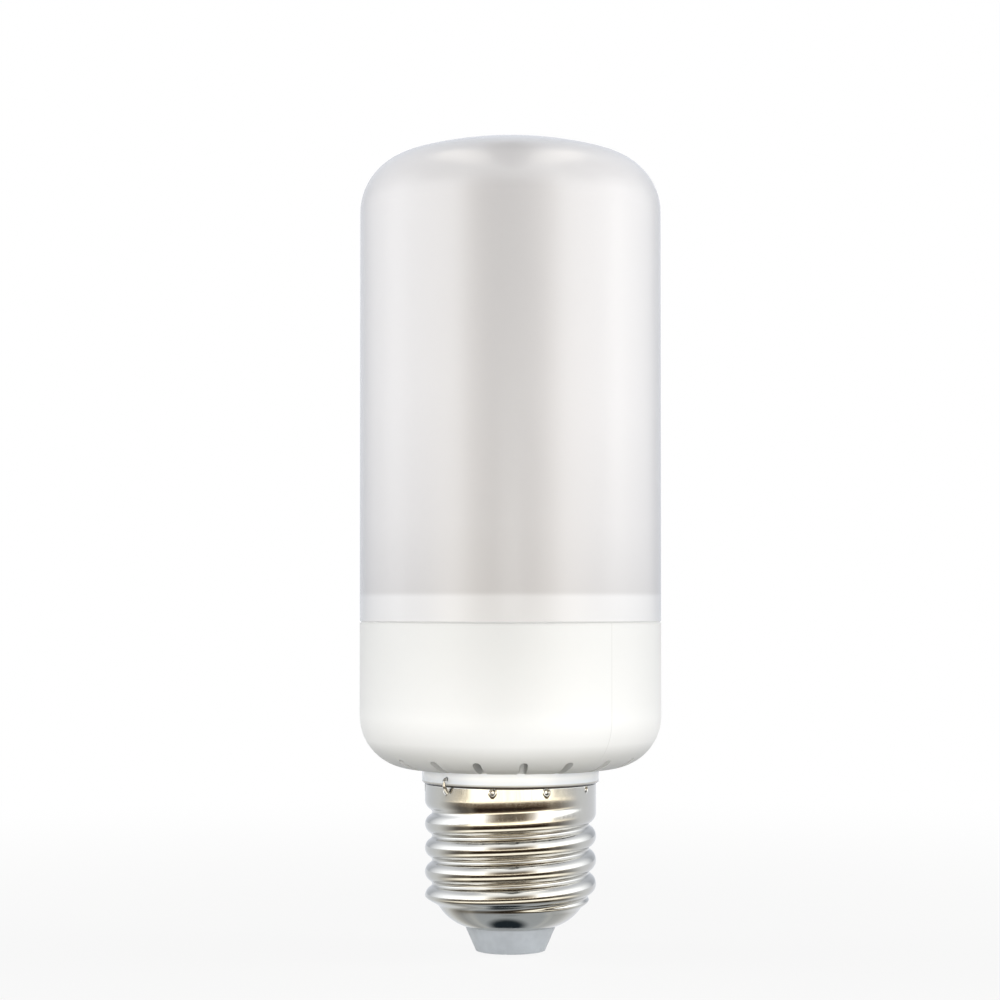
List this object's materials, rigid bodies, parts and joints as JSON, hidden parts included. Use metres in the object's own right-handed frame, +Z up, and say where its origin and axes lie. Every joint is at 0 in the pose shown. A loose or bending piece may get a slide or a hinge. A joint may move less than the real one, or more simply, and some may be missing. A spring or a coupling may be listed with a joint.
{
  "type": "flame effect led bulb",
  "caption": "Tubular LED lamp with an opal push-fit diffuser, a vented plastic housing and a rolled E27 screw cap, for a flickering flame effect",
  "frame": {"origin": "tip of the centre contact, on the lamp's axis, which is the middle of its lowest face", "axes": "+Z up along the lamp's axis from the cap to the crown of the diffuser; -Y is the front of the picture and +X its right"},
  "size_m": [0.046, 0.046, 0.124],
  "materials": {
    "opal_plastic": "satin opal polycarbonate, milky all through",
    "white_plastic": "moulded white plastic with a fine satin surface",
    "collar_plastic": "translucent bluish-white moulded plastic",
    "plated_sheet": "nickel-plated rolled sheet metal, faintly brushed",
    "insulator_plastic": "milky grey-white moulded plastic",
    "contact_metal": "plain brass rivet",
    "wire_insulation": "red insulated wire",
    "tinned_wire": "bare tinned wire",
    "circuit_board": "green laminate",
    "moulded_package": "black moulded package",
    "capacitor_can": "drawn can",
    "ferrite": "dark ferrite drum core",
    "resistor_coating": "grey-green coating",
    "inner_plastic": "moulded white plastic",
    "screw_steel": "zinc-plated screw",
    "flexible_laminate": "thin white-coated laminate",
    "led_package": "white package with a yellow window"
  },
  "bodies": {
    "root": {"diffuser": "opal_plastic", "housing": "white_plastic", "cap_collar": "collar_plastic", "screw_shell": "plated_sheet", "cap_insulator": "insulator_plastic", "centre_contact": "contact_metal", "live_wire": "wire_insulation", "link_wires": "wire_insulation", "neutral_wire": "tinned_wire", "driver_board": "circuit_board", "bridge_rectifier": "moulded_package", "driver_chip": "moulded_package", "control_chip": "moulded_package", "input_capacitor": "capacitor_can", "output_capacitor": "capacitor_can", "choke": "ferrite", "fuse_resistor": "resistor_coating", "deck_plate": "inner_plastic", "core_tube": "inner_plastic", "column_cap": "inner_plastic", "deck_screw_1": "screw_steel", "deck_screw_2": "screw_steel", "flexible_board": "flexible_laminate", "led_row_1": "led_package", "led_row_2": "led_package", "led_row_3": "led_package", "led_row_4": "led_package", "led_row_5": "led_package", "led_row_6": "led_package", "led_row_7": "led_package", "led_row_8": "led_package", "led_row_9": "led_package"}
  },
  "joints": []
}
